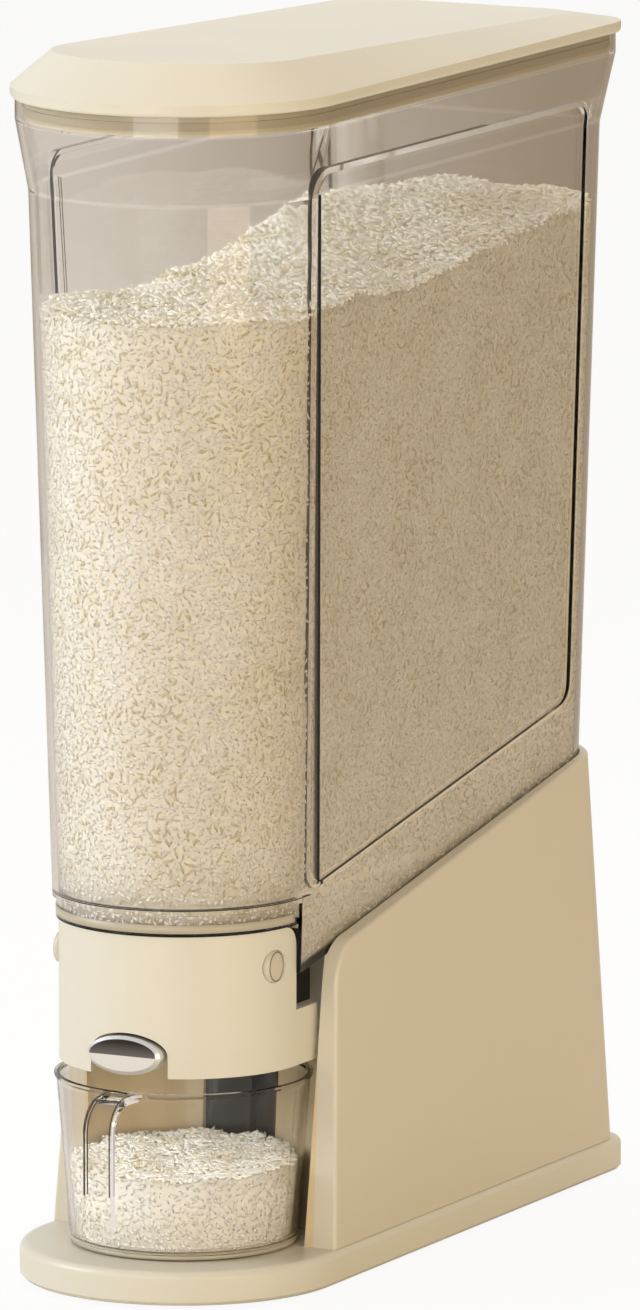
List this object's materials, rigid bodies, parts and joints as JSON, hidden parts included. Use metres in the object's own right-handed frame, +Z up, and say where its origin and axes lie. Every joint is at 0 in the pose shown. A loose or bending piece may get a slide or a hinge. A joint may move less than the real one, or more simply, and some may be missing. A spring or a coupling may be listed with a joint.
{
  "type": "rice dispenser",
  "caption": "Slim countertop rice dispenser: clear lidded hopper on a hollow stand, push-button sliding shutter, and a pull-out measuring cup with a strap handle.",
  "frame": {"origin": "middle of the whole outline seen from above, on the table under the feet; the measuring cup's handle is the foremost point", "axes": "+X to the right seen from the front, +Y from the cup at the front to the back, +Z up"},
  "size_m": [0.13, 0.335, 0.4732],
  "materials": {
    "cream_plastic": "moulded cream plastic, satin gloss",
    "clear_plastic": "clear plastic with a warm grey tint, polished",
    "cup_plastic": "clear plastic, polished",
    "smoke_plastic": "dark smoke-grey plastic, glossy",
    "button_chrome": "chromed plastic",
    "lid_insert_plastic": "moulded plastic in the lid's shade, matt",
    "silicone": "soft silicone, matt",
    "foot_rubber": "soft rubber, matt",
    "screw_steel": "zinc-plated steel"
  },
  "bodies": {
    "stand": {"base_plate": "cream_plastic", "stand_housing": "cream_plastic", "rubber_feet": "foot_rubber", "base_screws": "screw_steel", "cup_backstop": "smoke_plastic"},
    "hopper": {"hopper": "clear_plastic", "outlet_housing": "clear_plastic", "valve_cover": "cream_plastic", "outlet_gasket": "silicone", "valve_frame": "smoke_plastic", "valve_screws": "screw_steel", "guide_pin": "screw_steel", "return_spring": "screw_steel", "outlet_chute": "smoke_plastic"},
    "shutter": {"shutter_plate": "smoke_plastic", "button_stem": "smoke_plastic", "button_cap": "button_chrome"},
    "lid": {"lid_shell": "cream_plastic", "lid_insert": "lid_insert_plastic", "lid_seal": "silicone"},
    "cup": {"measuring_cup": "cup_plastic"}
  },
  "joints": [
    {"name": "hopper_lift", "type": "slide", "parent": "stand", "child": "hopper", "axis": [0, 0, 1], "range_m": [0, 0.06]},
    {"name": "button_press", "type": "slide", "parent": "hopper", "child": "shutter", "axis": [0, 1, 0], "range_m": [0, 0.01], "stiffness_N_per_m": 300, "springref_m": -0.01, "deforming": ["return_spring"]},
    {"name": "lid_lift", "type": "slide", "parent": "hopper", "child": "lid", "axis": [0, 0, 1], "range_m": [0, 0.08]},
    {"name": "cup_pull", "type": "slide", "parent": "stand", "child": "cup", "axis": [0, -1, 0], "range_m": [0, 0.14]}
  ]
}
